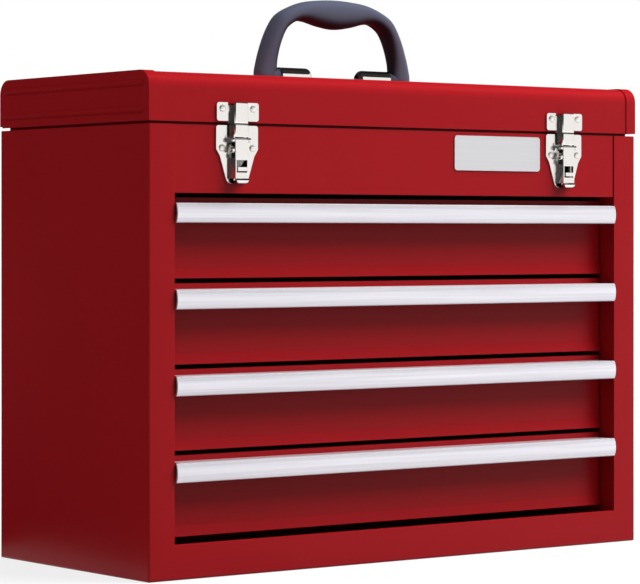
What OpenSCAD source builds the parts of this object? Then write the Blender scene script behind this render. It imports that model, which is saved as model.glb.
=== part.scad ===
// Hand-carried steel tool box: a folded sheet case with four drawers under a till,
// a hinged lid with a fold-down grip, and two sprung draw latches on the front.
// Millimetres. X runs along the width, -Y is the front, +Z is up.
// The origin is the middle of the flat underside.

/* [Case] */
// Width of the case over its sides
case_w = 520; // [480:5:600]
// Depth of the case from the front posts to the back
case_d = 224.7; // [215:0.1:260]
// Height of the case without the lid
case_h = 360; // [352:1:380]
// Thickness of the sheet steel
sheet = 1; // [0.8:0.1:1.2]
// Outside radius of the folds in the case
bend_r = 2; // [1.5:0.1:3]
// Width of each front post
post_w = 25; // [22:1:32]
// Height of the rail under the drawers
rail_h = 28; // [22:1:40]
// Depth of the flange that turns in from each post
return_d = 19; // [16:0.5:20]
// Height of the front panel above the drawers
fascia_h = 54.2; // [52:0.2:60]

/* [Lid] */
// Gap between the case and the lid at the front and the sides
lid_gap = 2.2; // [1.8:0.1:3.4]
// Height of the folded lid cover
lid_h = 39.5; // [36:0.1:50]
// Radius of the rounded front and back edges of the lid
lid_r = 12; // [8:0.5:14]
// Width of the band that each lid end laps over the cover
end_lap = 10.7; // [8:0.1:14]
// How far that band stands proud of the cover
end_proud = 0.8; // [0.6:0.1:1.2]

/* [Drawers] */
// Height of one drawer front
front_h = 64.6; // [62:0.1:64.6]
// Depth of the drawer fronts behind the face of the posts
front_recess = 18; // [17:0.5:19]
// Inside length of a drawer from front to back
pan_length = 187; // [150:1:187]
// Height of the drawer sides
pan_h = 55; // [40:1:57]
// Height of the crowned face of a pull
pull_h = 15.8; // [13:0.1:16]
// Outside radius of the crowned face of a pull
pull_r = 18; // [15:0.5:30]

/* [Handle] */
// Distance between the outside faces of the two feet of the grip
grip_w = 166.8; // [150:0.2:190]
// Height of the turning axis above the lid
axis_h = 6.8; // [6.6:0.1:8]
// Distance of the handle in front of the middle of the lid
handle_forward = 9.8; // [0:0.1:20]
// Radius of the steel axles
axle_r = 3; // [2.5:0.1:3.5]

/* [Latches] */
// Distance of each latch from the middle of the case
latch_x = 175; // [150:1:190]
// Width of the latch plates
latch_w = 41; // [38:0.5:46]
// Width of the face of the raised latch channel
channel_w = 12.4; // [11.6:0.1:13]
// Height of the raised latch channel above the keeper plate
channel_h = 5.6; // [5.6:0.1:6]

/* [Name plate] */
// Width of the blank plate on the front panel
plate_w = 96.2; // [70:0.1:110]
// Height of the blank plate
plate_h = 29.8; // [20:0.1:34]

/* [Hidden] */
$fn = 64;
drawer_count = 4;
half_w = case_w / 2;
front_y = -case_d / 2;
back_y = case_d / 2;
open_x = half_w - post_w;
bay_top = case_h - fascia_h;
rear_flange = 13;
panel_y = front_y + sheet;
rail_flange = 4.5;
running = 0.05;

// Drawers are stacked upwards from the rail, with number 1 on top.
gap_under = 4.3;
gap_over = 3.4;
drawer_gap = 3.9;
drawer_pitch = (bay_top - rail_h - gap_under - gap_over + drawer_gap) / drawer_count;
drawer_front_y = front_y + front_recess;
pull_below_top = 4.5;
pull_wall = 1.6;
pull_edge_r = 2;
slide_room = 13;
pan_x = open_x - slide_room;
pan_lift = 1.3;
slide_lift = 30.8;
slide_sheet = 1.2;
slide_half_h = 8;
slide_play = 0.3;
outer_x = open_x + 0.9;

// Upright channels between the side walls and the slides.
upright_w = 20;
upright_inset = 22;

// The till is a tray whose walls stand up inside the lid.
till_inset = 5.8;
till_top = case_h + 6;
till_floor = bay_top + sheet;
ledge_inset = 30;
ledge_reach = 21;
ledge_drop = 18;

// The hinge pin lies just inside the back face, where the lid is cut higher to make room.
lid_z = case_h + lid_gap;
lid_top = lid_z + lid_h;
hinge_gap = 3.4;
hinge_cut = 3;
hinge_y = back_y - 1.3;
hinge_z = case_h + hinge_gap / 2;
hinge_r = 1.4;
hinge_pin_r = 0.8;
hinge_half = half_w - 12;
knuckles = 13;
knuckle_gap = 0.3;
leaf_h = 20;
leaf_t = 0.9;

// Long rounded beads pressed out of the lid ends.
bead_w = 6;
bead_out = 1.5;
bead_r = (bead_w * bead_w / 4 + bead_out * bead_out) / (2 * bead_out);
bead_heights = [9.2, 30.2];

// Handle stations: distance from the middle, height above the axis,
// half the width of the section in the plane of the handle, half its depth.
axis_z = lid_top + axis_h;
handle_y = -handle_forward;
foot_half = 11;
foot_mid = grip_w / 2 - foot_half;
foot_r = axis_h - 0.6;
grip_stations = [
    [foot_mid, 2, foot_half, 6.2],
    [foot_mid - 0.9, 9, 10, 6.6],
    [foot_mid - 2.5, 16.8, 8.9, 7.4],
    [foot_mid - 6.3, 28.7, 7.6, 8.8],
    [foot_mid - 11.8, 40, 6.7, 9.8],
    [foot_mid - 18.1, 47.4, 6.8, 10.3],
    [foot_mid - 29.4, 53.2, 6.8, 10.5],
    [foot_mid - 42, 55.3, 8.8, 10.6],
    [foot_mid - 57.5, 54.5, 11.5, 10.8],
    [0, 53.8, 12.7, 10.8]
];
ring_sides = 24;
axle_depth = 8;
saddle_r = axis_h + 0.1;
saddle_wall = 1.5;
saddle_end = 24.6;
saddle_outer = foot_mid - 13.8;
boss_r = 5.8;
boss_gap = 0.4;
cheek_t = 2;
flange_start = 8;
flange_w = 12;
saddle_rivet_x = 43;
saddle_rivet_y = 12;

// Heights on the latches, measured on the closed latch.
plate_t = 1.5;
keeper_y = front_y - plate_t;
base_y = panel_y - plate_t;
channel_y = keeper_y - channel_h;
channel_slope = 3.2 / 5.6;
latch_wall = 1;
pivot_r = 0.9;
barrel_r = 1.9;
pivot_y = channel_y + barrel_r;
pivot_z = case_h - 11.8;
coil_y = channel_y + 2.9;
coil_z = case_h - 19.4;
rivet_r = 3;
rivet_shank_r = 1.6;
rivet_dome = 1.6;
rivet_tail_r = 2.4;
rivet_tail = 1.2;
dome_r = (rivet_r * rivet_r + rivet_dome * rivet_dome) / (2 * rivet_dome);
rivet_spread = 15;
plate_corner = 2.2;
ear_r = 1.9;
ear_gap = 0.35;
tongue_t = 1;
base_rivet_z = case_h - 18.2;
keeper_foot = lid_z + 1.2;
keeper_rivet_z = lid_z + 11.1;
plate_x = 99.7;
plate_z = case_h - 17.9;

// ---------- helpers ----------

function drawer_z(n) = rail_h + gap_under + (drawer_count - n) * drawer_pitch;

function arc_points(centre, r, from, to, steps = 8) =
    [for (i = [0:steps]) let (a = from + (to - from) * i / steps) centre + r * [cos(a), sin(a)]];

module slab(low, high) {
    translate(low) cube(high - low);
}

// A profile drawn in Y and Z, pushed along X.
module along_x(from, to) {
    translate([from, 0, 0]) rotate([90, 0, 90]) linear_extrude(to - from) children();
}

// A profile drawn in X and Z, pushed along Y.
module along_y(from, to) {
    translate([0, to, 0]) rotate([90, 0, 0]) linear_extrude(to - from) children();
}

module rod_x(from, to, y, z, r) {
    translate([from, y, z]) rotate([0, 90, 0]) cylinder(h = to - from, r = r);
}

module rod_y(x, from, to, z, r) {
    translate([x, to, z]) rotate([90, 0, 0]) cylinder(h = to - from, r = r);
}

module both_sides() {
    children();
    mirror([1, 0, 0]) children();
}

module rounded_rect(w, h, r) {
    square([w - 2 * r, h], center = true);
    square([w, h - 2 * r], center = true);
    for (x = [-1, 1], y = [-1, 1])
        translate([x * (w / 2 - r), y * (h / 2 - r)]) circle(r);
}

// ---------- case ----------

// The solid inside the case skin at a given depth, folded edges included.
module case_form(inset, top) {
    r = bend_r - inset;
    tall = 2 * top;
    intersection() {
        linear_extrude(top) rounded_rect(case_w - 2 * inset, case_d - 2 * inset, r);
        along_y(front_y, back_y)
            translate([0, inset + tall / 2]) rounded_rect(case_w - 2 * inset, tall, r);
        along_x(-half_w, half_w)
            translate([0, inset + tall / 2]) rounded_rect(case_d - 2 * inset, tall, r);
    }
}

module case_shell() {
    color("firebrick") {
        difference() {
            case_form(0, case_h);
            case_form(sheet, case_h + 1);
            slab([-open_x, front_y - 1, rail_h], [open_x, front_y + 2 * bend_r, case_h + 1]);
            slab([rear_flange - half_w, back_y - 2 * bend_r, rear_flange],
                 [half_w - rear_flange, back_y + 1, case_h + 1]);
        }
        both_sides()
            slab([open_x, front_y, rail_h - sheet], [open_x + sheet, front_y + return_d, bay_top]);
        slab([-open_x, front_y, rail_h - sheet], [open_x, front_y + rail_flange, rail_h]);
    }
}

module back_panel() {
    lap = 10;
    edge = half_w - rear_flange - 0.3;
    color("firebrick") {
        slab([-edge, back_y - sheet, rear_flange + 0.3], [edge, back_y, case_h]);
        both_sides()
            slab([edge - lap, back_y - 2 * sheet, rear_flange + 0.3],
                 [edge + lap, back_y - sheet, till_floor - ledge_drop]);
        slab([-edge, back_y - 2 * sheet, bend_r], [edge, back_y - sheet, rear_flange + lap]);
    }
}

module latch_rivet_holes(y, z) {
    for (side = [-1, 1], x = [-rivet_spread, rivet_spread])
        rod_y(side * latch_x + x, y - 3 * sheet, y + 3 * sheet, z, rivet_shank_r + running);
}

module front_panel() {
    lap = 10;
    color("firebrick") difference() {
        union() {
            slab([-open_x - lap, panel_y, bay_top], [open_x + lap, panel_y + sheet, case_h]);
            slab([0.2 - open_x, panel_y, bay_top], [open_x - 0.2, front_y + return_d, bay_top + sheet]);
        }
        latch_rivet_holes(panel_y, base_rivet_z);
    }
}

module till_tray() {
    x = half_w - till_inset;
    y = back_y - till_inset;
    lip = till_inset - sheet - 0.6;
    lip_z = case_h - 1.5;
    color("darkred") difference() {
        union() {
            slab([-x, -y, till_floor], [x, y, till_top]);
            slab([-x - lip, -y - lip + sheet, lip_z], [x + lip, y + lip - 2 * sheet, lip_z + sheet]);
        }
        slab([sheet - x, sheet - y, till_floor + sheet], [x - sheet, y - sheet, till_top + 1]);
    }
}

module till_ledge() {
    x = half_w - ledge_inset;
    back = back_y - sheet;
    color("darkred") {
        slab([-x, back - sheet, till_floor - ledge_drop], [x, back, till_floor]);
        slab([-x, back - ledge_reach, till_floor - sheet], [x, back, till_floor]);
    }
}

// Two upright channels on one side wall, which carry the slides.
module upright_pair() {
    for (y = [front_y + upright_inset, back_y - upright_inset - upright_w]) difference() {
        slab([outer_x, y, bend_r], [half_w - sheet, y + upright_w, till_floor]);
        slab([outer_x + slide_sheet, y + slide_sheet, 0],
             [half_w, y + upright_w - slide_sheet, case_h]);
    }
}

module upright_left() {
    color("darkgray") mirror([1, 0, 0]) upright_pair();
}

module upright_right() {
    color("darkgray") upright_pair();
}

module cabinet_slide(n) {
    z = drawer_z(n) + slide_lift;
    back = drawer_front_y + pan_length + 5;
    room = slide_half_h + slide_play;
    half_h = room + slide_sheet;
    depth = 10.4;
    color("silver") both_sides() difference() {
        slab([outer_x - depth, drawer_front_y + 2.4, z - half_h], [outer_x, back, z + half_h]);
        slab([outer_x - depth - 1, drawer_front_y + 1, z - room],
             [outer_x - slide_sheet, back + 1, z + room]);
    }
}

module name_plate() {
    color("gainsboro") translate([plate_x, 0, plate_z])
        along_y(panel_y - 1, panel_y) rounded_rect(plate_w, plate_h, 3);
}

// A rivet along Y: domed head in front of head_y, tail behind tail_y.
module rivet_y(x, head_y, tail_y, z) {
    rod_y(x, head_y - rivet_dome / 2, tail_y, z, rivet_shank_r);
    rod_y(x, tail_y, tail_y + rivet_tail, z, rivet_tail_r);
    intersection() {
        translate([x, head_y - rivet_dome + dome_r, z]) sphere(dome_r);
        rod_y(x, head_y - 2 * rivet_dome, head_y, z, rivet_r + 1);
    }
}

module case_rivets() {
    color("silver") for (side = [-1, 1], x = [-rivet_spread, rivet_spread])
        rivet_y(side * latch_x + x, base_y, panel_y + sheet, base_rivet_z);
}

// ---------- hinge ----------

knuckle_pitch = 2 * hinge_half / knuckles;

// One leaf with every second knuckle: parity 0 carries the end ones.
module hinge_leaf(parity, up) {
    far = up * leaf_h;
    clear = up * (hinge_r + knuckle_gap);
    leaf_y = back_y - sheet - leaf_t;
    difference() {
        union() {
            slab([-hinge_half, leaf_y, hinge_z + min(far, clear)],
                 [hinge_half, back_y - sheet, hinge_z + max(far, clear)]);
            for (k = [parity:2:knuckles - 1]) {
                from = -hinge_half + k * knuckle_pitch + knuckle_gap / 2;
                to = from + knuckle_pitch - knuckle_gap;
                rod_x(from, to, hinge_y, hinge_z, hinge_r);
                slab([from, leaf_y, hinge_z + min(0, clear)],
                     [to, back_y - sheet, hinge_z + max(0, clear)]);
            }
        }
        rod_x(-half_w, half_w, hinge_y, hinge_z, hinge_pin_r + running);
    }
}

module hinge_leaf_case() {
    color("silver") hinge_leaf(0, -1);
}

module hinge_leaf_lid() {
    color("silver") hinge_leaf(1, 1);
}

module hinge_pin() {
    color("silver") rod_x(-hinge_half, hinge_half, hinge_y, hinge_z, hinge_pin_r);
}

// ---------- lid ----------

// Section of the lid in Y and Z; a negative inset makes it larger.
module lid_section(inset) {
    tall = 4 * lid_h;
    intersection() {
        translate([0, lid_top - inset - tall / 2])
            rounded_rect(case_d - 2 * inset, tall, lid_r - inset);
        difference() {
            translate([-case_d, lid_z]) square([2 * case_d, 2 * lid_h]);
            translate([back_y - hinge_cut, 0]) square([case_d, case_h + hinge_gap]);
        }
    }
}

module saddle_rivet_places() {
    for (side = [-1, 1], y = [-saddle_rivet_y, saddle_rivet_y])
        translate([side * saddle_rivet_x, handle_y + y, lid_top]) children();
}

module lid_cover() {
    color("firebrick") difference() {
        along_x(sheet - half_w, half_w - sheet) difference() {
            lid_section(0);
            lid_section(sheet);
            translate([0, lid_z]) square([case_d - 2 * sheet, 4], center = true);
        }
        latch_rivet_holes(front_y, keeper_rivet_z);
        saddle_rivet_places() translate([0, 0, -3]) cylinder(h = 6, r = rivet_shank_r + running);
    }
}

module lid_bead() {
    reach = back_y - 9;
    intersection() {
        union() {
            rod_y(0, -reach, reach, 0, bead_r);
            for (end = [-1, 1]) translate([0, end * reach, 0]) sphere(bead_r);
        }
        slab([bead_r - bead_out - sheet / 2, -back_y, -bead_r], [bead_r, back_y, bead_r]);
    }
}

module lid_end_form() {
    color("firebrick") {
        along_x(half_w - sheet, half_w) lid_section(-end_proud);
        along_x(half_w - end_lap, half_w) difference() {
            lid_section(-end_proud);
            lid_section(0);
        }
        for (z = bead_heights)
            translate([half_w + bead_out - bead_r, 0, lid_z + z]) lid_bead();
    }
}

module lid_end_left() {
    mirror([1, 0, 0]) lid_end_form();
}

module lid_end_right() {
    lid_end_form();
}

module lid_rivets() {
    shank = sheet + saddle_wall + rivet_dome / 2;
    color("silver") {
        for (side = [-1, 1], x = [-rivet_spread, rivet_spread])
            rivet_y(side * latch_x + x, keeper_y, front_y + sheet, keeper_rivet_z);
        saddle_rivet_places() {
            translate([0, 0, -sheet - rivet_tail]) cylinder(h = rivet_tail, r = rivet_tail_r);
            translate([0, 0, -sheet]) cylinder(h = shank, r = rivet_shank_r);
            translate([0, 0, saddle_wall]) intersection() {
                translate([0, 0, rivet_dome - dome_r]) sphere(dome_r);
                cylinder(h = 2 * rivet_dome, r = rivet_r + 1);
            }
        }
    }
}

// ---------- handle ----------

// A pressed dome over one axle, with a flange on each side and two bored cheeks.
module saddle_dome(r, floor_z) {
    translate([saddle_end + saddle_r, handle_y, axis_z]) {
        sphere(r);
        rotate([0, 90, 0]) cylinder(h = saddle_outer - saddle_end - saddle_r, r = r);
        translate([0, 0, floor_z - axis_z]) cylinder(h = axis_z - floor_z, r = r);
        slab([0, -r, floor_z - axis_z], [saddle_outer - saddle_end - saddle_r, r, 0]);
    }
}

module handle_saddle_form() {
    color("silver") difference() {
        union() {
            difference() {
                saddle_dome(saddle_r, lid_top);
                saddle_dome(saddle_r - saddle_wall, lid_top - 1);
                slab([saddle_outer - 1, -case_d, 0], [case_w, case_d, lid_top - 1]);
            }
            for (x = [saddle_outer - cheek_t, saddle_outer - 9 * cheek_t]) intersection() {
                saddle_dome(saddle_r - saddle_wall / 2, lid_top);
                slab([x, -case_d, lid_top], [x + cheek_t, case_d, axis_z + saddle_r]);
            }
            for (y = [-saddle_rivet_y, saddle_rivet_y])
                slab([saddle_end + flange_start, handle_y + y - flange_w / 2, lid_top],
                     [saddle_outer, handle_y + y + flange_w / 2, lid_top + saddle_wall]);
        }
        rod_x(0, half_w, handle_y, axis_z, axle_r + running);
        for (y = [-saddle_rivet_y, saddle_rivet_y])
            translate([saddle_rivet_x, handle_y + y, lid_top - 1])
                cylinder(h = 2 * saddle_wall + 1, r = rivet_shank_r + running);
    }
}

module handle_saddle_left() {
    mirror([1, 0, 0]) handle_saddle_form();
}

module handle_saddle_right() {
    handle_saddle_form();
}

module handle_axle_form() {
    color("silver") rod_x(saddle_outer - 22, foot_mid + axle_depth, handle_y, axis_z, axle_r);
}

module handle_axle_left() {
    mirror([1, 0, 0]) handle_axle_form();
}

module handle_axle_right() {
    handle_axle_form();
}

// Smooth curve through the stations, and the mirrored half of the grip.
function spline(a, b, c, d, t) = 0.5 * (2 * b + (c - a) * t + (2 * a - 5 * b + 4 * c - d) * t * t
    + (3 * b - a - 3 * c + d) * t * t * t);

function station(i) =
    let (last = len(grip_stations) - 1)
    i <= last ? grip_stations[max(i, 0)]
              : [-grip_stations[2 * last - i][0], grip_stations[2 * last - i][1],
                 grip_stations[2 * last - i][2], grip_stations[2 * last - i][3]];

steps_per_span = 3;
grip_last = 2 * (len(grip_stations) - 1);

function grip_at(u) =
    let (i = min(floor(u), grip_last - 1), t = u - i)
    spline(station(max(i - 1, 0)), station(i), station(i + 1), station(min(i + 2, grip_last)), t);

// Rounded end rings of a foot, then the sweep, then the other foot.
foot_steps = 5;
foot_rings = [for (k = [1:foot_steps])
    let (a = -90 + 90 * k / (foot_steps + 1))
    [foot_mid, foot_r * sin(a), foot_half, foot_r * cos(a)]];
sweep_rings = [for (k = [0:grip_last * steps_per_span]) grip_at(k / steps_per_span)];
grip_rings = concat(foot_rings, sweep_rings,
    [for (k = [foot_steps - 1:-1:0]) let (ring = foot_rings[k]) [-ring[0], ring[1], ring[2], ring[3]]]);
ring_count = len(grip_rings);

function ring_direction(k) =
    let (a = grip_rings[max(k - 1, 0)], b = grip_rings[min(k + 1, ring_count - 1)],
         run = [b[0] - a[0], b[1] - a[1]])
    k < foot_steps ? [0, 1] : k >= ring_count - foot_steps ? [0, -1] : run / norm(run);

function squarish(a) = [sign(cos(a)) * pow(abs(cos(a)), 0.8), sign(sin(a)) * pow(abs(sin(a)), 0.8)];

grip_points = [for (k = [0:ring_count - 1], s = [0:ring_sides - 1])
    let (ring = grip_rings[k], p = squarish(360 * s / ring_sides), out = ring_direction(k) * ring[2] * p[0])
    [ring[0] + out[1], handle_y + ring[3] * p[1], axis_z + ring[1] - out[0]]];

grip_faces = concat(
    [[for (s = [0:ring_sides - 1]) s]],
    [for (k = [0:ring_count - 2], s = [0:ring_sides - 1])
        let (a = k * ring_sides + s, b = k * ring_sides + (s + 1) % ring_sides)
        [a, a + ring_sides, b + ring_sides, b]],
    [[for (s = [ring_sides - 1:-1:0]) (ring_count - 1) * ring_sides + s]]);

module handle_grip() {
    color("darkslategray") difference() {
        union() {
            polyhedron(grip_points, grip_faces);
            both_sides() rod_x(saddle_outer + boss_gap, foot_mid, handle_y, axis_z, boss_r);
        }
        both_sides() rod_x(saddle_outer, foot_mid + axle_depth, handle_y, axis_z, axle_r);
    }
}

// ---------- latches ----------

// Plan of the raised channel in X and Y, tapering outwards to the plate.
module channel_plan(inset, back) {
    front = channel_y + inset;
    narrow = channel_w / 2 - inset * 0.9;
    wide = narrow + (back - front) * channel_slope;
    polygon([[-wide, back], [-narrow, front], [narrow, front], [wide, back]]);
}

module channel(low, high, back) {
    translate([0, 0, low]) linear_extrude(high - low) difference() {
        channel_plan(0, back);
        channel_plan(latch_wall, back + 1);
    }
}

// Keeper on the lid: its channel is shut at the top, is notched clear of the plate there,
// and has a small lip at its foot.
module keeper_form() {
    top = keeper_rivet_z + 5;
    lip_x = channel_w / 2 - 1;
    foot = keeper_foot - 2;
    root = keeper_y + plate_t / 2;
    notch_w = 3.6;
    notch_h = 2.2;
    color("silver") difference() {
        union() {
            along_y(keeper_y, front_y) translate([0, (keeper_foot + top) / 2])
                rounded_rect(latch_w, top - keeper_foot, plate_corner);
            channel(foot, top, root);
            translate([0, 0, top - latch_wall]) linear_extrude(latch_wall) channel_plan(0, root);
            slab([-lip_x, channel_y, foot], [lip_x, channel_y + 1.8, foot + latch_wall]);
        }
        for (x = [-rivet_spread, rivet_spread])
            rod_y(x, keeper_y - 1, front_y + 1, keeper_rivet_z, rivet_shank_r + running);
        both_sides() slab([channel_w / 2, channel_y - 1, top - notch_h],
                          [channel_w / 2 + notch_w, front_y + 1, top + 1]);
    }
}

module latch_keeper_left() {
    translate([-latch_x, 0, 0]) keeper_form();
}

module latch_keeper_right() {
    translate([latch_x, 0, 0]) keeper_form();
}

// Outline of the base plate: square shoulders, a waist, then a rounded foot.
module base_outline() {
    x = latch_w / 2 - plate_corner;
    z = case_h - plate_corner;
    shoulder = [latch_w / 2, case_h - 19];
    waist = [latch_w / 2 - 3.6, case_h - 24.5];
    foot_r = 5;
    foot = [6.2, case_h - 41.3];
    polygon(concat(
        [waist, shoulder],
        arc_points([x, z], plate_corner, 0, 90),
        arc_points([-x, z], plate_corner, 90, 180),
        [[-shoulder[0], shoulder[1]], [-waist[0], waist[1]]],
        arc_points([-foot[0], foot[1]], foot_r, -160, -90),
        arc_points(foot, foot_r, -90, -20)));
}

// Base plate with two ears for the pin, two lower ones for the spring post,
// and a strap that a padlock can go through.
module latch_base_form() {
    ear = channel_w / 2 + 2 * ear_gap + latch_wall;
    ear_top = 1.2;
    loop_x = 4.4;
    loop_leg = 1.2;
    loop_h = 3.2;
    loop_z = case_h - 36.6;
    loop_out = channel_y - 0.85;
    root = base_y + plate_t / 3;
    color("silver") difference() {
        union() {
            along_y(base_y, panel_y) base_outline();
            both_sides() {
                along_x(ear, ear + loop_leg) {
                    translate([pivot_y, pivot_z]) circle(ear_r);
                    translate([pivot_y, pivot_z - ear_r]) square([root - pivot_y, ear_r + ear_top]);
                }
                along_x(loop_x - loop_leg, loop_x) {
                    translate([coil_y, coil_z]) circle(ear_r - 0.3);
                    translate([coil_y, coil_z - 1]) square([root - coil_y, 2]);
                }
                slab([loop_x - loop_leg, loop_out, loop_z], [loop_x, root, loop_z + loop_h]);
            }
            slab([-loop_x, loop_out, loop_z], [loop_x, loop_out + loop_leg, loop_z + loop_h]);
        }
        rod_x(-latch_w, latch_w, pivot_y, pivot_z, pivot_r + running);
        rod_x(-latch_w, latch_w, coil_y, coil_z, pivot_r + running);
        for (x = [-rivet_spread, rivet_spread])
            rod_y(x, base_y - 1, panel_y + 1, base_rivet_z, rivet_shank_r + running);
    }
}

module latch_base_left() {
    translate([-latch_x, 0, 0]) latch_base_form();
}

module latch_base_right() {
    translate([latch_x, 0, 0]) latch_base_form();
}

// The pivot pin, and the shorter post that carries the spring.
module latch_pin_form() {
    reach = channel_w / 2 + 3.2;
    post = channel_w / 2 + 3.5;
    color("silver") {
        rod_x(-reach, reach, pivot_y, pivot_z, pivot_r);
        rod_x(-post, channel_w / 2 - 1, coil_y, coil_z, pivot_r);
    }
}

module latch_pin_left() {
    translate([-latch_x, 0, 0]) latch_pin_form();
}

module latch_pin_right() {
    translate([latch_x, 0, 0]) latch_pin_form();
}

// A sprung coil round the left end of its post, drawn as three turns with two legs.
module latch_spring_form() {
    wire = 0.42;
    coil = 2.6;
    turn_pitch = 0.95;
    inner = channel_w / 2 + 0.75;
    leg = 4.4;
    leg_r = 0.36;
    lean = [-4, 184];
    color("silver") for (turn = [0:2])
        translate([-inner - turn * turn_pitch, coil_y, coil_z]) {
            rotate([0, 90, 0]) rotate_extrude() translate([coil, 0]) circle(wire);
            if (turn > 0)
                translate([0, coil, 0]) rotate([lean[turn - 1], 0, 0]) cylinder(h = leg, r = leg_r);
        }
}

module latch_spring_left() {
    translate([-latch_x, 0, 0]) latch_spring_form();
}

module latch_spring_right() {
    translate([latch_x, 0, 0]) latch_spring_form();
}

// Cover lever: it turns on the pin and its window swings over the lock loop.
module latch_lever_form() {
    face = channel_w / 2;
    window_x = face - 1;
    window = [case_h - 37.8, case_h - 27.8];
    foot = case_h - 43.8;
    wall_top = case_h - 26;
    roll_r = 2.2;
    tip_r = 4;
    tip_x = face - tip_r;
    tip_z = foot - 0.6 - roll_r + tip_r;
    color("silver") difference() {
        union() {
            rod_x(-face, face, pivot_y, pivot_z, barrel_r);
            slab([-face, channel_y, wall_top - 1], [face, channel_y + latch_wall, pivot_z]);
            channel(foot, wall_top, base_y - 0.6);
            rod_x(-face, face, channel_y + 1, foot - 0.6, roll_r);
        }
        rod_x(-latch_w, latch_w, pivot_y, pivot_z, pivot_r + running);
        slab([-window_x, channel_y - roll_r, window[0]], [window_x, channel_y + 1.2, window[1]]);
        both_sides() difference() {
            slab([tip_x, channel_y - 2 * roll_r, tip_z - 2 * tip_r], [face + tip_r, front_y, tip_z]);
            rod_y(tip_x, channel_y - 3 * roll_r, front_y + 1, tip_z, tip_r);
        }
    }
}

module latch_lever_left() {
    translate([-latch_x, 0, 0]) latch_lever_form();
}

module latch_lever_right() {
    translate([latch_x, 0, 0]) latch_lever_form();
}

// Hook: its tongue stands inside the keeper channel, behind the keeper's lip.
module latch_hook_form() {
    arm = channel_w / 2 + ear_gap;
    arm_w = 2.4;
    low = pivot_z + barrel_r + 0.4;
    high = case_h + 0.6;
    top = case_h + 4.6;
    nose = 0.85;
    tongue_y = channel_y + 2.95;
    tongue_x = channel_w / 2 - 1.8;
    inner_y = tongue_y + tongue_t;
    color("silver") difference() {
        union() {
            channel(low, high, tongue_y + 2.1);
            slab([-tongue_x, channel_y, high - tongue_t], [tongue_x, inner_y, high]);
            slab([-tongue_x, tongue_y, high - tongue_t], [tongue_x, inner_y, top]);
            slab([-tongue_x, tongue_y - nose, top - 1.2], [tongue_x, inner_y, top]);
            both_sides() along_x(arm, arm + latch_wall) {
                translate([pivot_y, pivot_z]) circle(ear_r);
                translate([pivot_y - arm_w / 2, pivot_z]) square([arm_w, low + 2 - pivot_z]);
            }
        }
        rod_x(-latch_w, latch_w, pivot_y, pivot_z, pivot_r + running);
    }
}

module latch_hook_left() {
    translate([-latch_x, 0, 0]) latch_hook_form();
}

module latch_hook_right() {
    translate([latch_x, 0, 0]) latch_hook_form();
}

// ---------- drawers ----------

module drawer_pan(n) {
    z = drawer_z(n) + pan_lift;
    y = drawer_front_y + sheet;
    color("darkred") difference() {
        slab([-pan_x, y, z], [pan_x, y + pan_length + sheet, z + pan_h]);
        slab([sheet - pan_x, y - 1, z + sheet], [pan_x - sheet, y + pan_length, z + pan_h + 1]);
    }
}

// The foot of the front leans out a little and its top edge is turned back.
module drawer_front(n) {
    x = open_x - 1;
    strip = 8.7;
    lean = 2;
    top_flange = 8;
    y = drawer_front_y;
    z = drawer_z(n);
    color("firebrick") {
        along_x(-x, x) polygon([
            [y, z + front_h], [y, z + strip], [y - lean, z],
            [y - lean + sheet, z], [y + sheet, z + strip], [y + sheet, z + front_h]]);
        slab([-pan_x, y, z + front_h - sheet], [pan_x, y + top_flange, z + front_h]);
    }
}

// Section of the crowned face in Y and Z: a shallow arc that rounds off above and below.
module pull_face(inset, front, mid) {
    big = pull_r - inset;
    small = pull_edge_r - inset;
    reach = pull_h / 2 - pull_edge_r;
    turn = reach * pull_r / (pull_r - pull_edge_r);
    depth = pull_r - sqrt(pow(pull_r - pull_edge_r, 2) - reach * reach);
    translate([front, mid]) {
        intersection() {
            translate([pull_r, 0]) circle(big, $fn = 256);
            translate([0, -turn]) square([pull_r, 2 * turn]);
        }
        for (z = [-reach, reach]) translate([depth, z]) circle(small);
        translate([depth, -reach - small]) square([pull_r, 2 * (reach + small)]);
    }
}

// Extruded pull: crowned face, web back to the drawer front, and a fixing flange.
module drawer_pull(n) {
    x = open_x - 0.7;
    top = drawer_z(n) + front_h - pull_below_top;
    mid = top - pull_h / 2;
    flat_y = front_y - 0.25;
    bulge = 3.1;
    flange_h = 11;
    web_inset = 4;
    color("gainsboro") {
        along_x(-x, x) difference() {
            pull_face(0, flat_y - bulge, mid);
            pull_face(pull_wall, flat_y - bulge, mid);
            translate([flat_y, mid - pull_h]) square([2 * pull_r, 2 * pull_h]);
        }
        along_x(web_inset - x, x - web_inset) {
            translate([flat_y - pull_wall / 2, top - pull_wall])
                square([drawer_front_y - flat_y + pull_wall / 2, pull_wall]);
            translate([drawer_front_y - pull_wall, top - flange_h]) square([pull_wall, flange_h]);
        }
    }
}

module drawer_slide(n) {
    z = drawer_z(n) + slide_lift;
    y = drawer_front_y + sheet;
    color("silver") both_sides() difference() {
        slab([pan_x, y, z - slide_half_h], [open_x - 1.5, y + pan_length, z + slide_half_h]);
        slab([pan_x + slide_sheet, y - 1, z - slide_half_h + slide_sheet],
             [open_x, y + pan_length + 1, z + slide_half_h - slide_sheet]);
    }
}

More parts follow.
